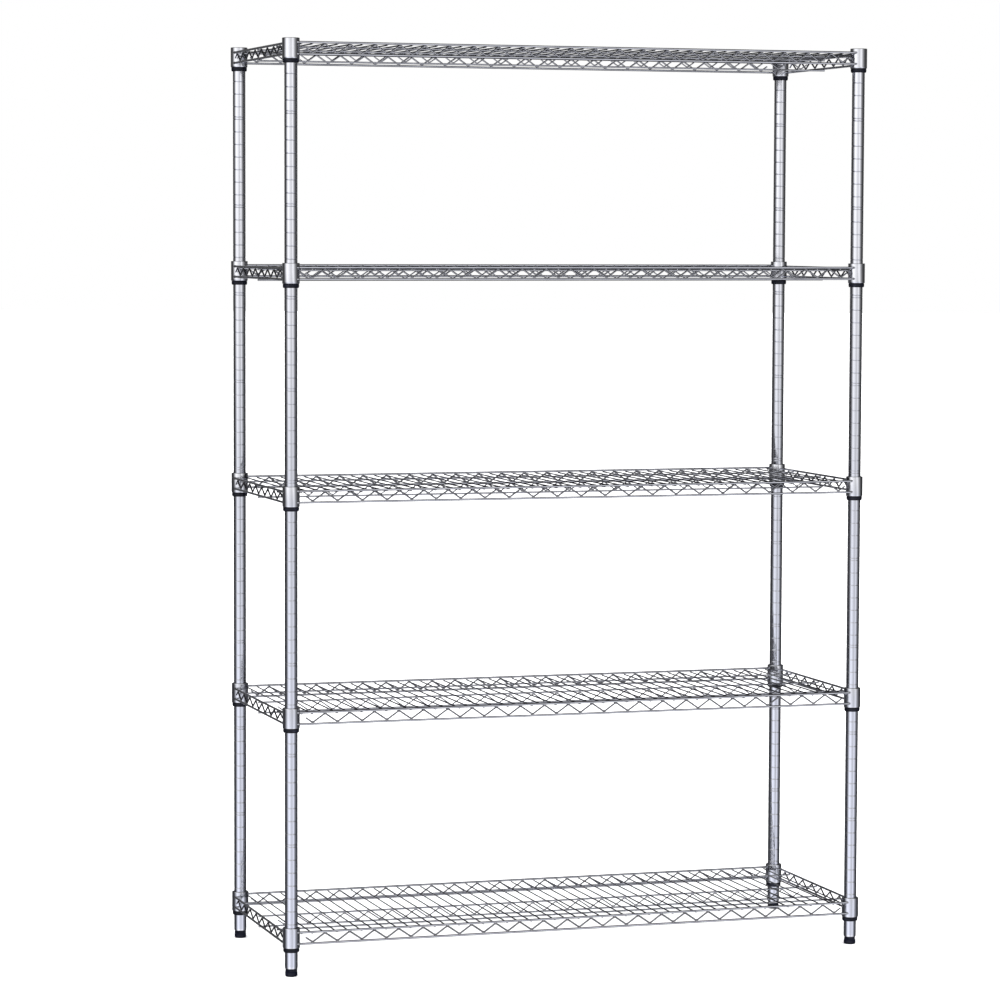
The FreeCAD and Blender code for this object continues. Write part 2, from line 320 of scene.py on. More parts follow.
def position(tree):
    """X, Y and Z of each point."""
    return add(tree, "ShaderNodeSeparateXYZ", {0: add(tree, "GeometryNodeInputPosition")}).outputs


def copy_to(tree, points, part, **turned_and_scaled):
    """A copy of the part on every point."""
    return add(tree, "GeometryNodeInstanceOnPoints", {"Points": points, "Instance": part} | turned_and_scaled)


def move(tree, geometry, place, rotation=(0.0, 0.0, 0.0)):
    """The geometry, turned and then moved."""
    moves = {"Geometry": geometry, "Translation": place, "Rotation": rotation}
    return add(tree, "GeometryNodeTransform", moves)


def raise_by(tree, geometry, height):
    """The geometry, moved up by a height."""
    return move(tree, geometry, vector(tree, Z=height))


def shade(tree, geometry, crisp_above):
    """The geometry shaded smooth, but crisp at edges that turn by more than an angle."""
    bend = add(tree, "GeometryNodeInputMeshEdgeAngle")
    sharp = add(tree, "FunctionNodeCompare", {0: bend, 1: crisp_above}, operation="GREATER_THAN")
    smooth = add(tree, "GeometryNodeSetShadeSmooth", {"Geometry": geometry, "Shade Smooth": True})
    edges = {"Geometry": smooth, "Selection": sharp, "Shade Smooth": False}
    return add(tree, "GeometryNodeSetShadeSmooth", edges, domain="EDGE")


def end_tree(tree, geometry, size):
    """End a tree: make every copy real, give it the material, and put it out."""
    real = add(tree, "GeometryNodeRealizeInstances", {0: geometry})
    finished = add(tree, "GeometryNodeSetMaterial", {"Geometry": real, "Material": size["Material"]})
    add(tree, "NodeGroupOutput", {0: finished})


def outline_mesh(points_mm, closed=False):
    """A line drawing in radius and height, as loose edges for a tree to work on."""
    drawing = bpy.data.meshes.new("outline")
    count = len(points_mm)
    edges = [(i, (i + 1) % count) for i in range(count if closed else count - 1)]
    drawing.from_pydata([(r * MM, 0.0, z * MM) for r, z in points_mm], edges, [])
    return drawing


def build(name, tree, sizes, body, stands_for, drawing=None):
    """Run a tree on a drawing, keep the result as a plain mesh, and hang it on a body of the rack."""
    piece = bpy.data.objects.new(name, drawing or bpy.data.meshes.new(name))
    bpy.context.scene.collection.objects.link(piece)
    maker = piece.modifiers.new(tree.name, "NODES")
    maker.node_group = tree
    for item in tree.interface.items_tree:
        if item.in_out == "INPUT" and item.name in sizes:
            maker[item.identifier] = sizes[item.name]
    ready = piece.evaluated_get(bpy.context.evaluated_depsgraph_get())
    plain = bpy.data.meshes.new_from_object(ready)
    piece.modifiers.clear()
    piece.data = plain
    plain.name = name
    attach(piece, body)
    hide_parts(*stands_for)
    return piece


def volume_of(piece):
    """A piece's volume, faces and open edges as text; faces that point outwards give a volume above zero."""
    shell = bmesh.new()
    shell.from_mesh(piece.data)
    open_edges = sum(1 for edge in shell.edges if len(edge.link_faces) != 2)
    volume = shell.calc_volume(signed=True) * 1e6
    shell.free()
    return "%.2f cm3, %d faces, %d open edges" % (volume, len(piece.data.polygons), open_edges)


print("trees take", ", ".join(kind.__name__ for kind in SOCKETS), "sizes, geometry and materials")

# %% [markdown]
# ## Turned parts: spinning an outline
#
# Posts, collars, caps and feet are round. A lathe hand thinks of such a part as half of its
# outline, and so does this group: it takes the outline, lays it across a small circle, and
# sweeps it round. The group then marks edges that turn sharply, so that a rounded face shades
# smoothly and a cut edge stays crisp.

# %% The spin group
SHORT_OF_ROUND = math.tau - 0.01
CRISP_TURNED, CRISP_WIRE = math.radians(38), math.radians(42)
spin, size = start_tree(
    "spin outline",
    {"Outline": None, "Sides": 32, "Path radius": 0.010, "Start angle": 0.0, "Sweep": math.tau},
)
spot = position(spin)
from_path = calc(spin, "SUBTRACT", spot["X"], size["Path radius"])
downwards = calc(spin, "MULTIPLY", spot["Z"], -1.0)
flat = vector(spin, X=from_path, Y=downwards)
section = add(spin, "GeometryNodeSetPosition", {"Geometry": size["Outline"], "Position": flat})
round_path = {"Resolution": size["Sides"], "Radius": size["Path radius"]}
ring = add(spin, "GeometryNodeCurvePrimitiveCircle", round_path)
part_path = round_path | {"Start Angle": size["Start angle"], "Sweep Angle": size["Sweep"]}
arc = add(spin, "GeometryNodeCurveArc", part_path)
partial = add(spin, "FunctionNodeCompare", {0: size["Sweep"], 1: SHORT_OF_ROUND}, operation="LESS_THAN")
path = add(spin, "GeometryNodeSwitch", {"Switch": partial, "False": ring, "True": arc})
swept = add(spin, "GeometryNodeCurveToMesh", {"Curve": path, "Profile Curve": section, "Fill Caps": partial})
closed = add(spin, "GeometryNodeMergeByDistance", {"Geometry": swept, "Distance": 1e-6})
outward = add(spin, "GeometryNodeFlipFaces", {"Mesh": closed})
add(spin, "NodeGroupOutput", {0: shade(spin, outward, CRISP_TURNED)})
print("the spin group has", len(spin.nodes), "nodes")

# %% [markdown]
# ## Grooved posts
#
# A post has a shallow groove rolled round it every 25.4 mm, and the sleeves snap into them.
# A second groove just above every seventh one helps the user to count. Modelling eighty
# grooves by hand would be dull and easy to get wrong, so the tree works each outline point
# out from its number: eight points make one groove, eight grooves make one counting step.
# The points are then strung in order, up the outside of the tube and down its bore.

# %% The grooved tube tree
tube, size = start_tree(
    "grooved tube",
    {
        "Ends": None, "Grooves": 80, "First marker": 0.0782, "Groove pitch": 0.0254,
        "Marker gap": 0.0048, "Radius": 0.0127, "Groove depth": 0.0003, "Sides": 36,
        "Place": (0.0, 0.0, 0.0), "Material": tube_chrome,
    },
)
POINTS_IN_GROOVE = 8.0
GROOVES_IN_STEP = 8.0
PITCHES_IN_STEP = 7.0
number = add(tube, "GeometryNodeInputIndex")
share = calc(tube, "DIVIDE", number, POINTS_IN_GROOVE)
whole = calc(tube, "FLOOR", share)
groove = calc(tube, "SUBTRACT", whole, 1.0)
step_share = calc(tube, "DIVIDE", groove, GROOVES_IN_STEP)
step = calc(tube, "FLOOR", step_share)
within = calc(tube, "FLOORED_MODULO", groove, GROOVES_IN_STEP)
# within a counting step: 0 is the marked groove, 1 its marker, 2 to 7 the plain ones
plain = calc(tube, "SUBTRACT", within, 1.0)
plain_up = calc(tube, "MAXIMUM", plain, 0.0)
is_marker = calc(tube, "COMPARE", within, 1.0, 0.5)
pitches = calc(tube, "MULTIPLY_ADD", step, PITCHES_IN_STEP, plain_up)
base = calc(tube, "MULTIPLY_ADD", pitches, size["Groove pitch"], size["First marker"])
centre = calc(tube, "MULTIPLY_ADD", is_marker, size["Marker gap"], base)
print("height of a groove is worked out by", len(tube.nodes) - 2, "nodes")

# %% The shape of one groove
POINT_STEP = 0.3 * MM  # height between neighbouring points of a groove, on each side of its floor
corner = calc(tube, "FLOORED_MODULO", number, POINTS_IN_GROOVE)
from_middle = calc(tube, "SUBTRACT", corner, 3.5)
side = calc(tube, "SIGN", from_middle)
away = calc(tube, "ABSOLUTE", from_middle)
half_width = calc(tube, "MULTIPLY_ADD", away, POINT_STEP, POINT_STEP)
height = calc(tube, "MULTIPLY_ADD", side, half_width, centre)
bottom = calc(tube, "SUBTRACT", size["Radius"], size["Groove depth"])
wall = between(tube, away, 0.5, 2.5, bottom, size["Radius"])
spot = vector(tube, X=wall, Z=height)
many = calc(tube, "MULTIPLY", size["Grooves"], POINTS_IN_GROOVE)
grooves = add(tube, "GeometryNodePoints", {"Count": many, "Position": spot})
print("a groove is drawn with", int(POINTS_IN_GROOVE), "points")

# %% Stringing the tube's points together
BORE_LIMIT = 11.7 * MM  # points nearer the axis than this belong to the bore
TURN_BACK = 4.0  # more than twice a post's height, so that the way down comes after the way up
end_points = add(tube, "GeometryNodeMeshToPoints", {"Mesh": size["Ends"], "Radius": 0.0001})
all_points = join(tube, grooves, end_points)
here = position(tube)
inside = add(tube, "FunctionNodeCompare", {0: here["X"], 1: BORE_LIMIT}, operation="LESS_THAN")
way_down = calc(tube, "SUBTRACT", TURN_BACK, here["Z"])
ways = {"Switch": inside, "False": here["Z"], "True": way_down}
order = add(tube, "GeometryNodeSwitch", ways, input_type="FLOAT")
strung = add(tube, "GeometryNodePointsToCurves", {"Points": all_points, "Weight": order})
loop = add(tube, "GeometryNodeSetSplineCyclic", {0: strung, "Cyclic": True})
turned = use(tube, spin, {"Outline": loop, "Sides": size["Sides"]})
end_tree(tube, move(tube, turned, size["Place"]), size)
print("the grooved tube tree has", len(tube.nodes), "nodes")

# %% Four posts
tube_bottom, tube_top = tube_low.z / MM, tube_high.z / MM
tube_ends = [
    (11.5, tube_bottom), (11.8, tube_bottom), (12.0, tube_bottom + 0.15),
    (12.2, tube_bottom + 0.5), (12.4, tube_bottom + 1.6), (12.62, tube_bottom + 3.6),
    (12.7, tube_bottom + 4.6), (12.7, tube_bottom + 5.2), (12.7, tube_top - 0.3),
    (12.6, tube_top), (11.5, tube_top),
]
for name in CORNERS:
    centre_of_post = middle("post_" + name)
    post = build(
        "tube_" + name,
        tube,
        {
            "First marker": shelf_heights[1] + 22.2 * MM, "Radius": tube_radius,
            "Place": (centre_of_post.x, centre_of_post.y, 0.0), "Material": tube_chrome,
        },
        "frame",
        ["post_" + name],
        outline_mesh(tube_ends),
    )
    print(post.name, volume_of(post))

# %% [markdown]
# ## Parts that are turned and used four times
#
# Collars, caps and inserts are one turned part at each corner of the rack. The tree spins the
# outline once and copies it to the four corners of a grid, or to one place when the part
# belongs to a single foot.

# %% The turned part tree
lathe, size = start_tree(
    "turned part",
    {
        "Outline": None, "Sides": 48, "Corner distance X": 1.18, "Corner distance Y": 0.421,
        "Four corners": True, "Place": (0.0, 0.0, 0.0), "Material": collar_chrome,
    },
)
drawn = add(lathe, "GeometryNodeMeshToCurve", {0: size["Outline"]})
body = use(lathe, spin, {"Outline": drawn, "Sides": size["Sides"]})
four = grid(lathe, size["Corner distance X"], size["Corner distance Y"], 2, 2)
one = add(lathe, "GeometryNodePoints", {"Count": 1})
places = add(lathe, "GeometryNodeSwitch", {"Switch": size["Four corners"], "False": one, "True": four})
copies = copy_to(lathe, places, body)
end_tree(lathe, move(lathe, copies, size["Place"]), size)
print("the turned part tree has", len(lathe.nodes), "nodes")

# %% [markdown]
# ## Collars
#
# Each corner of a shelf is a cone-bored collar, pressed from tube. Its lower end is drawn in
# and its top edge is rolled, so both ends have soft lips that shine. A sharp edge would look
# like a paper cut-out, so each lip gets three or four small steps.

# %% Twenty collars
BETWEEN_POSTS = {"Corner distance X": 2 * post_x, "Corner distance Y": 2 * post_y}
collar_outline = [
    (15.35, 0.5), (15.6, 0.05), (16.1, 0.05), (16.5, 0.4), (16.78, 1.0), (16.9, 1.8),
    (16.95, 2.8), (16.95, 3.6), (16.95, 38.6), (16.9, 39.3), (16.7, 39.8), (16.35, 40.0),
    (14.8, 40.0), (14.35, 39.8), (14.15, 39.2),
]
for n in LEVELS:
    collars = build(
        f"level_{n}_collars",
        lathe,
        BETWEEN_POSTS | {"Place": (0.0, 0.0, shelf_heights[n]), "Material": collar_chrome},
        f"shelf_{n}",
        [f"shelf_{n}_collars"],
        outline_mesh(collar_outline, closed=True),
    )
print(collars.name, volume_of(collars))

# %% [markdown]
# ## Caps and inserts
#
# A plastic plug with a low dome closes the top of each tube. A threaded insert fills the
# bottom, and the foot screws into it.

# %% Caps and inserts at the four corners
cap_outline = [
    (0.0, tube_top - 12.0), (10.0, tube_top - 12.0), (11.4, tube_top - 10.0),
    (11.4, tube_top + 0.05), (12.3, tube_top + 0.05), (12.58, tube_top + 0.2),
    (12.6, tube_top + 0.45), (12.3, tube_top + 0.8), (11.4, tube_top + 1.1),
    (9.6, tube_top + 1.33), (6.4, tube_top + 1.5), (3.2, tube_top + 1.58),
    (0.0, tube_top + 1.6),
]
caps = build(
    "dome_caps",
    lathe,
    BETWEEN_POSTS | {"Material": cap_black},
    "frame",
    ["post_caps"],
    outline_mesh(cap_outline),
)
insert_outline = [
    (4.85, tube_bottom + 0.6), (5.3, tube_bottom), (11.42, tube_bottom),
    (11.42, tube_bottom + 18.2), (10.6, tube_bottom + 19.0), (4.85, tube_bottom + 19.0),
]
inserts = build(
    "threaded_inserts",
    lathe,
    BETWEEN_POSTS | {"Material": zinc_plating},
    "frame",
    ["foot_inserts"],
    outline_mesh(insert_outline, closed=True),
)
print(caps.name, volume_of(caps), "and", inserts.name, volume_of(inserts))

# %% [markdown]
# ## Split sleeves
#
# A sleeve is two moulded halves that clip round the post. Its lip is all that shows, as a
# black ring under the collar, and a thin slit runs down each side. The halves of each post
# face another way, as they do when somebody has fitted them by hand.

# %% The sleeve tree
cuff, size = start_tree(
    "split sleeve",
    {
        "Outline": None, "Slit": math.radians(4.5), "Corner distance X": 1.18,
        "Corner distance Y": 0.421, "Place": (0.0, 0.0, 0.0), "Material": sleeve_black,
    },
)
drawn = add(cuff, "GeometryNodeMeshToCurve", {0: size["Outline"]})
half_slit = calc(cuff, "MULTIPLY", size["Slit"], 0.5)
half_turn = calc(cuff, "SUBTRACT", math.pi, size["Slit"])
sweep = {"Start angle": half_slit, "Sweep": half_turn, "Sides": 30, "Path radius": 14 * MM}
half = use(cuff, spin, {"Outline": drawn} | sweep)
other = move(cuff, half, (0.0, 0.0, 0.0), (0.0, 0.0, math.pi))
pair = join(cuff, half, other)
four = grid(cuff, size["Corner distance X"], size["Corner distance Y"], 2, 2)
# the grid's corners come in the order front left, rear left, front right, rear right
SLITS_FACE = (20.0, -72.0, -35.0, 40.0)
which = add(cuff, "GeometryNodeInputIndex")
facing = add(cuff, "GeometryNodeIndexSwitch", {0: which}, data_type="FLOAT")
for _ in SLITS_FACE[2:]:  # the node starts with two items
    facing.index_switch_items.new()
for socket, degrees in zip(facing.inputs[1:5], SLITS_FACE):
    socket.default_value = math.radians(degrees)
copies = copy_to(cuff, four, pair, Rotation=vector(cuff, Z=facing))
end_tree(cuff, move(cuff, copies, size["Place"]), size)
print("the sleeve tree has", len(cuff.nodes), "nodes, and its slits face", SLITS_FACE, "degrees")

# %% Five levels of sleeves
sleeve_outline = [
    (12.8, -8.0), (14.3, -8.0), (14.9, -7.7), (15.45, -6.7), (15.75, -5.2), (15.8, -4.2),
    (15.8, -1.4), (15.7, -0.75), (15.4, -0.35), (15.0, -0.3), (13.85, 38.4), (13.6, 39.0),
    (12.8, 39.0),
]
for n in LEVELS:
    sleeves = build(
        f"clip_sleeves_{n}",
        cuff,
        BETWEEN_POSTS | {"Place": (0.0, 0.0, shelf_heights[n]), "Material": sleeve_black},
        "frame",
        [f"sleeves_{n}"],
        outline_mesh(sleeve_outline, closed=True),
    )
print(sleeves.name, volume_of(sleeves))

# %% [markdown]
# ## Feet
#
# A foot is a round glide that stands on the floor, a six-sided adjuster that a spanner turns,
# and a threaded shank. The adjuster is the same spun outline with only six sides. A thread is
# a ridge that winds round a core, so it is swept along a spiral with the thread's own pitch.

# %% The screw tree
screw, size = start_tree(
    "levelling screw",
    {
        "Core": None, "Core radius": 0.0042, "Outer radius": 0.00476, "Pitch": 0.0015875, "Turns": 20.0,
        "Thread start": 0.0165, "Place": (0.0, 0.0, 0.0), "Material": zinc_plating,
    },
)
core_line = add(screw, "GeometryNodeMeshToCurve", {0: size["Core"]})
core = use(screw, spin, {"Outline": core_line, "Sides": 24})
tall = calc(screw, "MULTIPLY", size["Pitch"], size["Turns"])
depth = calc(screw, "SUBTRACT", size["Outer radius"], size["Core radius"])
coil = {"Resolution": 24, "Rotations": size["Turns"], "Height": tall}
coil |= {"Start Radius": size["Core radius"], "End Radius": size["Core radius"]}
winding = add(screw, "GeometryNodeCurveSpiral", coil)
section = add(screw, "GeometryNodeCurvePrimitiveCircle", {"Resolution": 4, "Radius": depth})
swept = {"Curve": winding, "Profile Curve": section, "Fill Caps": True}
ridge = add(screw, "GeometryNodeCurveToMesh", swept)
whole_screw = join(screw, core, raise_by(screw, ridge, size["Thread start"]))
end_tree(screw, move(screw, whole_screw, size["Place"]), size)
print("the screw tree has", len(screw.nodes), "nodes")

# %% Four feet
glide_outline = [
    (0.0, 0.0), (9.2, 0.0), (10.2, 0.12), (11.0, 0.5), (11.6, 1.2), (11.92, 2.1), (12.0, 3.0),
    (12.0, 8.3), (11.9, 8.8), (11.6, 9.1), (11.2, 9.2), (4.85, 9.2), (4.85, 2.0), (0.0, 2.0),
]
adjuster_outline = [
    (0.0, 9.5), (11.4, 9.5), (11.8, 9.65), (12.0, 10.1), (12.0, 13.6), (11.6, 14.3), (10.8, 14.65), (0.0, 14.7),
]
shank_outline = [
    (0.0, 2.3), (4.2, 2.3), (4.7, 2.9), (4.7, 16.0), (4.2, 16.4), (4.2, 49.2), (3.5, 50.0), (0.0, 50.0),
]
for name in CORNERS:
    where = middle("foot_pad_" + name)
    place = (where.x, where.y, 0.0)
    alone = {"Four corners": False, "Place": place, "Material": foot_black}
    glide = build(
        "glide_" + name,
        lathe,
        alone | {"Sides": 40},
        "foot_" + name,
        ["foot_pad_" + name],
        outline_mesh(glide_outline),
    )
    adjuster = build(
        "adjuster_" + name,
        lathe,
        alone | {"Sides": 6},
        "stud_" + name,
        ["foot_stud_" + name],
        outline_mesh(adjuster_outline),
    )
    shank = build(
        "screw_" + name,
        screw,
        {"Place": place, "Material": zinc_plating},
        "stud_" + name,
        ["foot_stud_" + name],
        outline_mesh(shank_outline),
    )
print(glide.name, volume_of(glide))
print(adjuster.name, volume_of(adjuster))
print(shank.name, volume_of(shank))

# %% [markdown]
# ## Wire: one group for straight rods, one for welds
#
# Wire parts need three small building blocks. A wire is a circle swept along a path. A rod is
# a straight wire whose sawn ends are slightly chamfered. A weld bead is a flattened ball with
# few faces, because there are over two thousand of them; each one is turned and scaled a
# little differently by a random number with a fixed seed.

# %% Wire along a path
wire, size = start_tree(
    "wire along a path",
    {"Path": None, "Radius": 0.0015, "Sides": 10, "End scale": 1.0},
)
section = add(wire, "GeometryNodeCurvePrimitiveCircle", {"Resolution": size["Sides"], "Radius": size["Radius"]})
at_end = add(wire, "GeometryNodeCurveEndpointSelection")
scales = {"Switch": at_end, "False": 1.0, "True": size["End scale"]}
thickness = add(wire, "GeometryNodeSwitch", scales, input_type="FLOAT")
sweep = {"Curve": size["Path"], "Profile Curve": section, "Scale": thickness, "Fill Caps": True}
swept = add(wire, "GeometryNodeCurveToMesh", sweep)
add(wire, "NodeGroupOutput", {0: shade(wire, swept, CRISP_WIRE)})
print("the wire group has", len(wire.nodes), "nodes")

# %% Straight rod along X, centred
rod, size = start_tree("cut rod", {"Length": 1.0, "Radius": 0.0015, "Sides": 10, "Chamfer": 0.0004})
number = add(rod, "GeometryNodeInputIndex")
from_middle = calc(rod, "SUBTRACT", number, 1.5)
side = calc(rod, "SIGN", from_middle)
away = calc(rod, "ABSOLUTE", from_middle)
half = calc(rod, "MULTIPLY", size["Length"], 0.5)
shoulder = calc(rod, "SUBTRACT", half, size["Chamfer"])
reach = between(rod, away, 0.5, 1.5, shoulder, half)
along = calc(rod, "MULTIPLY", side, reach)
line = add(rod, "GeometryNodeMeshLine", {"Count": 4, "Offset": (0.001, 0.0, 0.0)})
spaced = add(rod, "GeometryNodeSetPosition", {"Geometry": line, "Position": vector(rod, X=along)})
path = add(rod, "GeometryNodeMeshToCurve", {0: spaced})
cut = {"Path": path, "Radius": size["Radius"], "Sides": size["Sides"], "End scale": 0.75}
add(rod, "NodeGroupOutput", {0: use(rod, wire, cut)})
print("the rod group has", len(rod.nodes), "nodes")

# %% Rows of weld beads
beads, size = start_tree(
    "weld beads",
    {
        "Width": 1.0, "Depth": 0.0, "Count X": 2, "Count Y": 1, "Height": 0.0, "Radius": 0.0018,
        "Flatness": 0.6, "Seed": 7,
    },
)
spots = grid(beads, size["Width"], size["Depth"], size["Count X"], size["Count Y"])
ball = add(beads, "GeometryNodeMeshUVSphere", {"Segments": 8, "Rings": 5, "Radius": size["Radius"]})
soft = add(beads, "GeometryNodeSetShadeSmooth", {"Geometry": ball, "Shade Smooth": True})
squash = vector(beads, X=1.0, Y=1.0, Z=size["Flatness"])
# a random number between two others is the node's inputs 2 and 3, and its output 1
spread, heading = (
    add(beads, "FunctionNodeRandomValue", {2: low, 3: high, "Seed": size["Seed"]}, data_type="FLOAT").outputs[1]
    for low, high in ((0.8, 1.15), (0.0, math.tau))
)
grown = add(beads, "ShaderNodeVectorMath", {0: squash, "Scale": spread}, operation="SCALE")
placed = copy_to(beads, spots, soft, Rotation=vector(beads, Z=heading), Scale=grown)
add(beads, "NodeGroupOutput", {0: raise_by(beads, placed, size["Height"])})
print("the bead group has", len(beads.nodes), "nodes")

# %% [markdown]
# ## The deck
#
# Pots and boxes stand on forty-five close ribs and one more beside each pair of collars. They
# run from front to back over two long runner wires. Each crossing is welded.

# %% The grille tree
RAIL_OUT = 12.4 * MM  # an edge rail's middle line, out from the posts' middle lines
RUNNER_PAST = 1.2 * MM  # a runner's end, past the middle line of a side rail
rail_y = post_y + RAIL_OUT
rail_x = post_x + RAIL_OUT
deck, size = start_tree(
    "deck grille",
    {
        "Ribs": 45, "Rib pitch": 0.025, "Rib length": 0.44, "Rib radius": 0.0014, "Rib height": 0.02855,
        "End rib distance": 1.143, "Runner length": 1.2, "Runner distance": 0.3,
        "Runner radius": 0.0018, "Runner height": 0.02555, "Shelf height": 0.0,
        "Material": wire_plating,
    },
)
gaps = calc(deck, "SUBTRACT", size["Ribs"], 1.0)
row_width = calc(deck, "MULTIPLY", gaps, size["Rib pitch"])
row = grid(deck, row_width, 0.0, size["Ribs"], 1)
ends = grid(deck, size["End rib distance"], 0.0, 2, 1)
stations = join(deck, row, ends)
rib = use(deck, rod, {"Length": size["Rib length"], "Radius": size["Rib radius"]})
across = copy_to(deck, stations, rib, Rotation=(0.0, 0.0, math.pi / 2))
ribs = raise_by(deck, across, size["Rib height"])
runner = use(deck, rod, {"Length": size["Runner length"], "Radius": size["Runner radius"], "Sides": 12})
pair = grid(deck, 0.0, size["Runner distance"], 1, 2)
both = copy_to(deck, pair, runner)
runners = raise_by(deck, both, size["Runner height"])
end_tree(deck, raise_by(deck, join(deck, ribs, runners), size["Shelf height"]), size)
print("the grille tree has", len(deck.nodes), "nodes")

# %% The deck's welds
deck_beads, size = start_tree(
    "deck welds",
    {
        "Ribs": 45, "Rib pitch": 0.025, "End rib distance": 1.143, "Rail distance": 0.44,
        "Rail weld height": 0.0297, "Runner distance": 0.3, "Runner weld height": 0.0272,
        "Shelf height": 0.0, "Material": weld_plating,
    },
)
gaps = calc(deck_beads, "SUBTRACT", size["Ribs"], 1.0)
row_width = calc(deck_beads, "MULTIPLY", gaps, size["Rib pitch"])
fields = []
for width, count in ((row_width, size["Ribs"]), (size["End rib distance"], 2)):
    # the ribs cross two rails at the edges, and two runners and the middle truss between them
    for wires, rows, radius in (("Rail", 2, 1.9 * MM), ("Runner", 3, 1.7 * MM)):
        field = {"Width": width, "Depth": size[wires + " distance"], "Count X": count, "Count Y": rows}
        field |= {"Height": size[wires + " weld height"], "Radius": radius}
        fields.append(use(deck_beads, beads, field))
raised = raise_by(deck_beads, join(deck_beads, *fields), size["Shelf height"])
end_tree(deck_beads, raised, size)
print("the deck weld tree has", len(deck_beads.nodes), "nodes")

# %% Five decks
for n in LEVELS:
    grille = build(
        f"level_{n}_grille",
        deck,
        {
            "Rib length": 2 * (rail_y - 1.5 * MM), "Runner length": 2 * (rail_x + RUNNER_PAST),
            "Shelf height": shelf_heights[n], "Material": wire_plating,
        },
        f"shelf_{n}",
        [f"shelf_{n}_deck"],
    )
    deck_welds = build(
        f"level_{n}_deck_welds",
        deck_beads,
        {"Rail distance": 2 * (rail_y - 1.0 * MM), "Shelf height": shelf_heights[n], "Material": weld_plating},
        f"shelf_{n}",
        [f"shelf_{n}_deck"],
    )
print(grille.name, volume_of(grille))
print(deck_welds.name, volume_of(deck_welds))

# %% [markdown]
# ## Edge trusses and the middle truss
#
# What makes a thin wire shelf stiff is a zigzag wire welded between two rails, like a small
# bridge. The zigzag is a ping-pong of a point's number: up at each odd number, down at each
# even one. Its corners are then rounded to the bending tool's radius. The rails of an edge
# truss stop at the collars, so each point of a rail's end is pulled back until it meets the
# collar's round wall. The zigzag of an edge is drawn 0.2 mm thicker on the radius than the
# measured wire, only so that it reads in a view of the whole rack.


# %% Corner heights of the zigzag
HALF_PITCH, BEND_RADIUS = 25.0, 5.0


def corner_heights(low, high):
    """Where sharp corners must stand for the rounded crests to reach low and high."""
    extra = 0.0
    for _ in range(30):
        lean = math.atan2(high - low + 2 * extra, HALF_PITCH)
        extra = BEND_RADIUS / math.cos(lean) - BEND_RADIUS
    return low - extra, high + extra


low_corner, high_corner = corner_heights(12.5, 28.0)
print("crests at 12.5 and 28 mm need corners at %.2f and %.2f mm" % (low_corner, high_corner))

# %% The zigzag
bridge, size = start_tree(
    "wire truss",
    {
        "High crests": 22, "Low crests": 23, "Half pitch": 0.025, "Start corner": 0.0,
        "Other corner": 0.02, "Bend radius": 0.005, "Tail": 0.56, "Zigzag radius": 0.0015,
        "Rail radius": 0.0022, "High rail": 0.0315, "Low rail": 0.009, "Rail length": 1.18,
        "Trim radius": 0.0, "Collar offset": 0.0124, "Turn": 0.0, "Place": (0.0, 0.0, 0.0),
        "Material": wire_plating,
    },
)
crests = calc(bridge, "ADD", size["High crests"], size["Low crests"])
points = calc(bridge, "ADD", crests, 2.0)
last = calc(bridge, "SUBTRACT", crests, 1.0)
line = add(bridge, "GeometryNodeMeshLine", {"Count": points, "Offset": (0.001, 0.0, 0.0)})
number = calc(bridge, "SUBTRACT", add(bridge, "GeometryNodeInputIndex"), 1.0)
first_tail = calc(bridge, "MULTIPLY", size["Tail"], -1.0)
last_tail = calc(bridge, "ADD", last, size["Tail"])
after_start = calc(bridge, "MAXIMUM", number, first_tail)
counted = calc(bridge, "MINIMUM", after_start, last_tail)
swing = calc(bridge, "PINGPONG", counted, 1.0)
height = between(bridge, swing, 0.0, 1.0, size["Start corner"], size["Other corner"])
half_last = calc(bridge, "MULTIPLY", last, 0.5)
centred = calc(bridge, "SUBTRACT", counted, half_last)
along = calc(bridge, "MULTIPLY", centred, size["Half pitch"])
corner = vector(bridge, X=along, Z=height)
corners = add(bridge, "GeometryNodeSetPosition", {"Geometry": line, "Position": corner})
straight = add(bridge, "GeometryNodeMeshToCurve", {0: corners})
bends = {"Curve": straight, "Radius": size["Bend radius"], "Count": 4}
bent = add(bridge, "GeometryNodeFilletCurve", bends, mode="POLY")
zigzag = use(bridge, wire, {"Path": bent, "Radius": size["Zigzag radius"], "Sides": 8, "End scale": 0.9})
print("a zigzag takes", len(bridge.nodes), "nodes")

# %% The rails, trimmed to the collars
rail = use(bridge, rod, {"Length": size["Rail length"], "Radius": size["Rail radius"], "Sides": 14})
rail_pair = join(bridge, *(raise_by(bridge, rail, size[level]) for level in ("High rail", "Low rail")))
here = position(bridge)
from_axis = calc(bridge, "SUBTRACT", size["Collar offset"], here["Y"])
from_axis_squared = calc(bridge, "MULTIPLY", from_axis, from_axis)
trim_squared = calc(bridge, "MULTIPLY", size["Trim radius"], size["Trim radius"])
chord_squared = calc(bridge, "SUBTRACT", trim_squared, from_axis_squared)
chord = calc(bridge, "SQRT", calc(bridge, "MAXIMUM", chord_squared, 0.0))
half_rail = calc(bridge, "MULTIPLY", size["Rail length"], 0.5)
limit = calc(bridge, "SUBTRACT", half_rail, chord)
outwards = calc(bridge, "SIGN", here["X"])
distance = calc(bridge, "ABSOLUTE", here["X"])
kept = calc(bridge, "MINIMUM", distance, limit)
trimmed_x = calc(bridge, "MULTIPLY", outwards, kept)
trimmed_spot = vector(bridge, X=trimmed_x, Y=here["Y"], Z=here["Z"])
trimmed = add(bridge, "GeometryNodeSetPosition", {"Geometry": rail_pair, "Position": trimmed_spot})
joined = join(bridge, zigzag, trimmed)
facing = vector(bridge, Z=size["Turn"])
end_tree(bridge, move(bridge, joined, size["Place"], facing), size)
print("the truss tree has", len(bridge.nodes), "nodes")

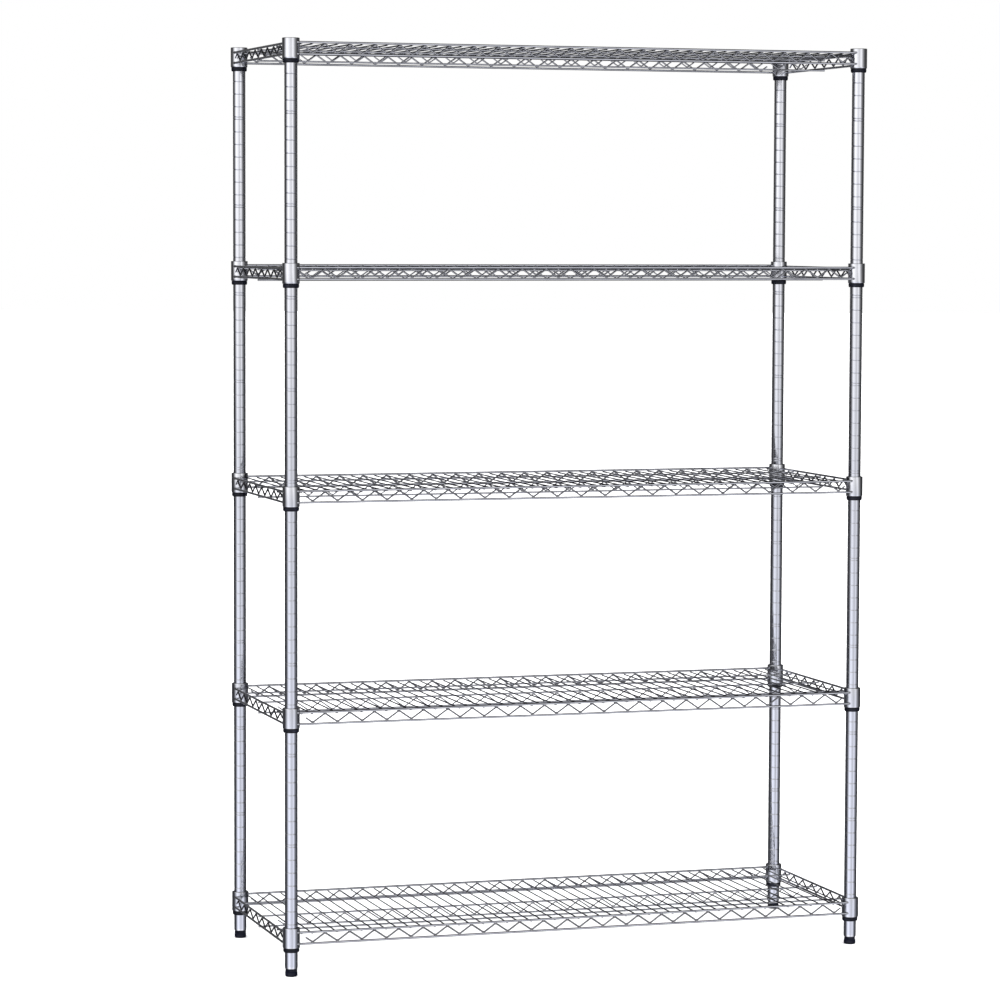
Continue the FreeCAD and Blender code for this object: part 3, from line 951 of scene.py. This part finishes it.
# %% The truss's welds
CREST_BEAD = 1.6 * MM
truss_beads, size = start_tree(
    "truss welds",
    {
        "High crests": 22, "Low crests": 23, "Half pitch": 0.025, "High weld": 0.03, "Low weld": 0.01,
        "Collar weld distance": 1.156, "Collar weld radius": 0.0026, "High rail": 0.0315,
        "Low rail": 0.009, "Turn": 0.0, "Place": (0.0, 0.0, 0.0), "Material": weld_plating,
    },
)
rows = []
for count, level in (("High crests", "High weld"), ("Low crests", "Low weld")):
    gaps = calc(truss_beads, "SUBTRACT", size[count], 1.0)
    double = calc(truss_beads, "MULTIPLY", gaps, 2.0)
    width = calc(truss_beads, "MULTIPLY", double, size["Half pitch"])
    row = {"Width": width, "Count X": size[count], "Height": size[level], "Radius": CREST_BEAD}
    rows.append(use(truss_beads, beads, row))
for level in ("High rail", "Low rail"):
    row = {"Width": size["Collar weld distance"], "Radius": size["Collar weld radius"]}
    rows.append(use(truss_beads, beads, row | {"Height": size[level], "Flatness": 0.95}))
joined = join(truss_beads, *rows)
facing = vector(truss_beads, Z=size["Turn"])
end_tree(truss_beads, move(truss_beads, joined, size["Place"], facing), size)
print("the truss weld tree has", len(truss_beads.nodes), "nodes")

# %% Where the trusses go
SUNK = 0.2  # millimetres that a zigzag sinks into its rails, and a rail into a collar
COLLAR_REACH = 12.4 * MM  # along a rail, from a post's middle line to the rail's weld on the collar
LONG_EDGE = {"length": 2 * post_x, "crests": (22, 23), "rails": (31.5, 9.0), "radii": (2.2, 1.7), "trim": True}
SHORT_EDGE = LONG_EDGE | {"length": 2 * post_y, "crests": (8, 7), "rails": (29.5, 8.5)}
INNER = {"length": 2 * (rail_x + RUNNER_PAST), "crests": (22, 23), "rails": (25.45, 4.55), "radii": (1.8, 1.3)}
# the direction a truss faces, its middle, and its make: crests and rails high and low, radii of rail and zigzag
TRUSSES = {
    "front": (0.0, (0.0, -rail_y), LONG_EDGE),
    "rear": (math.pi, (0.0, rail_y), LONG_EDGE),
    "left": (-math.pi / 2, (-rail_x, 0.0), SHORT_EDGE),
    "right": (math.pi / 2, (rail_x, 0.0), SHORT_EDGE),
    "inner": (0.0, (0.0, 0.0), INNER | {"trim": False}),
}
for n in LEVELS:
    for name, (turned_by, centre_xy, make) in TRUSSES.items():
        high_count, low_count = make["crests"]
        high_rail, low_rail = make["rails"]
        rail_radius, zigzag_radius = make["radii"]
        inset = rail_radius + zigzag_radius - SUNK
        low_corner, high_corner = corner_heights(low_rail + inset, high_rail - inset)
        start, other = (low_corner, high_corner) if low_count > high_count else (high_corner, low_corner)
        shared = {
            "High crests": high_count,
            "Low crests": low_count,
            "High rail": high_rail * MM,
            "Low rail": low_rail * MM,
            "Turn": turned_by,
            "Place": (*centre_xy, shelf_heights[n]),
        }
        truss = build(
            f"level_{n}_{name}_truss_wires",
            bridge,
            shared | {
                "Start corner": start * MM,
                "Other corner": other * MM,
                "Zigzag radius": zigzag_radius * MM,
                "Rail radius": rail_radius * MM,
                "Rail length": make["length"],
                "Trim radius": collar_radius - SUNK * MM if make["trim"] else 0.0,
                "Collar offset": RAIL_OUT,
                "Material": wire_plating,
            },
            f"shelf_{n}",
            [f"shelf_{n}_{name}_truss"],
        )
        # an edge's rails end at the collars, the inner truss's on the side rails
        reach, end_bead = (COLLAR_REACH, 2.7 * MM) if make["trim"] else (RUNNER_PAST, 1.9 * MM)
        truss_welds = build(
            f"level_{n}_{name}_truss_welds",
            truss_beads,
            shared | {
                "High weld": (high_rail - rail_radius) * MM,
                "Low weld": (low_rail + rail_radius) * MM,
                "Collar weld distance": make["length"] - 2 * reach,
                "Collar weld radius": end_bead,
                "Material": weld_plating,
            },
            f"shelf_{n}",
            [f"shelf_{n}_{name}_truss"],
        )
    print("level", n, truss.name, volume_of(truss), truss_welds.name, volume_of(truss_welds))

# %% [markdown]
# ## Floor and light
#
# Chrome has no colour of its own to show: it shows the room. In a white cloth tent the side
# that faces the camera reflects the tent's bright opening, and the sides reflect darker
# corners, which gives each tube a white middle and grey edges. The room here is a gradient
# that does the same, with a wide soft light overhead and a plain pale floor.

# %% Floor
FLOOR_RADIUS, FLOOR_SIDES = 60, 64
floor_mesh = bpy.data.meshes.new("floor")
angles = [i * math.tau / FLOOR_SIDES for i in range(FLOOR_SIDES)]
rim = [(FLOOR_RADIUS * math.cos(a), FLOOR_RADIUS * math.sin(a), 0.0) for a in angles]
floor_mesh.from_pydata(rim, [], [list(range(FLOOR_SIDES))])
floor = bpy.data.objects.new("studio_floor", floor_mesh)
bpy.context.scene.collection.objects.link(floor)
floor_paint, tree, shader = start_material("matt_white_floor")
feed(tree, shader, {"Base Color": colour("#F4F4F6"), "Roughness": 0.9})
floor_mesh.materials.append(floor_paint)
floor.visible_glossy = False
print("made", floor.name, "of", FLOOR_SIDES, "sides")

# %% Room
room = bpy.data.worlds.new("white_tent")
room.use_nodes = True
tree = room.node_tree
tree.nodes.clear()
direction = add(tree, "ShaderNodeTexCoord").outputs["Generated"]
towards_camera = Vector((-forward.x, -forward.y, 0.0)).normalized()
ahead = add(tree, "ShaderNodeVectorMath", {0: direction, 1: towards_camera}, operation="DOT_PRODUCT")
aside = add(tree, "ShaderNodeVectorMath", {0: direction, 1: level_right}, operation="DOT_PRODUCT")
around = calc(tree, "ARCTAN2", aside.outputs["Value"], ahead.outputs["Value"])
height = add(tree, "ShaderNodeSeparateXYZ", {0: direction}).outputs["Z"]
# the tent hangs a little slanting: below eye level its cloth stands further to the right
SLANT = math.radians(12)
slant = between(tree, height, -0.06, 0.03, SLANT, 0.0)
straightened = calc(tree, "SUBTRACT", around, slant)
turned_share = between(tree, straightened, -math.pi, math.pi)
height_share = between(tree, height, -1.0, 1.0)


def fill_ramp(ramp, stops):
    """Give a colour ramp its stops: place from 0 to 1, and brightness or colour."""
    while len(ramp.elements) < len(stops):
        ramp.elements.new(0.5)
    for element, (place, tone) in zip(ramp.elements, stops):
        element.position = place
        element.color = tone if isinstance(tone, tuple) else (tone, tone, tone, 1.0)


# degrees round from the camera, negative to its left, and how bright the tent is there
TENT = (
    (-180, 0.13), (-146, 0.13), (-128, 0.08), (-112, 0.05), (-98, 0.09), (-78, 0.50), (-64, 1.20), (-48, 1.60),
    (-28, 1.36), (-10, 1.10), (4, 0.95), (12, 0.97), (22, 1.26), (32, 1.42), (44, 0.92), (56, 0.50), (72, 0.24),
    (90, 0.08), (110, 0.06), (130, 0.09), (150, 0.11), (180, 0.13),
)
walls = add(tree, "ShaderNodeValToRGB", {0: turned_share})
fill_ramp(walls.color_ramp, [((degrees + 180) / 360, tone) for degrees, tone in TENT])
# the same from the floor's direction, -1, up to straight overhead, 1
RISE = (
    (-1.0, 0.05), (-0.86, 0.08), (-0.72, (0.36, 0.36, 0.39, 1.0)), (-0.56, (0.84, 0.85, 0.90, 1.0)),
    (-0.40, (0.95, 0.96, 1.02, 1.0)), (-0.20, (0.79, 0.81, 0.90, 1.0)), (-0.13, (0.78, 0.80, 0.87, 1.0)),
    (-0.065, (0.70, 0.71, 0.74, 1.0)), (-0.02, 0.88), (0.03, 1.0), (0.10, 0.97), (0.22, 0.78), (0.36, 0.54),
    (0.52, 0.26), (0.70, 0.10), (1.0, 0.04),
)
rise = add(tree, "ShaderNodeValToRGB", {0: height_share})
fill_ramp(rise.color_ramp, [((place + 1) / 2, tone) for place, tone in RISE])
tent = add(tree, "ShaderNodeVectorMath", {0: walls, 1: rise}, operation="MULTIPLY")
seen = add(tree, "ShaderNodeLightPath")
backdrop = mix_colours(tree, seen.outputs["Is Camera Ray"], tent, (1.0, 1.0, 1.0, 1.0))
glow = add(tree, "ShaderNodeBackground", {"Color": backdrop, "Strength": 1.0})
add(tree, "ShaderNodeOutputWorld", {"Surface": glow})
bpy.context.scene.world = room
print("the room has", len(tree.nodes), "nodes")

# %% Soft light from above
sky = bpy.data.lights.new("wide_soft_light", "SUN")
sky.energy = 7.0
sky.angle = math.radians(100)
lamp = bpy.data.objects.new("wide_soft_light", sky)
bpy.context.scene.collection.objects.link(lamp)
lamp.rotation_euler = (math.radians(18), math.radians(-8), 0.0)
lamp.visible_glossy = False
print("light from above", sky.energy, "W per square metre")

# %% Plain colours
# the standard view keeps a white floor white and a black sleeve black
bpy.context.scene.view_settings.view_transform = "Standard"
bpy.context.scene.view_settings.look = "None"
print("colours are shown by the view", bpy.context.scene.view_settings.view_transform)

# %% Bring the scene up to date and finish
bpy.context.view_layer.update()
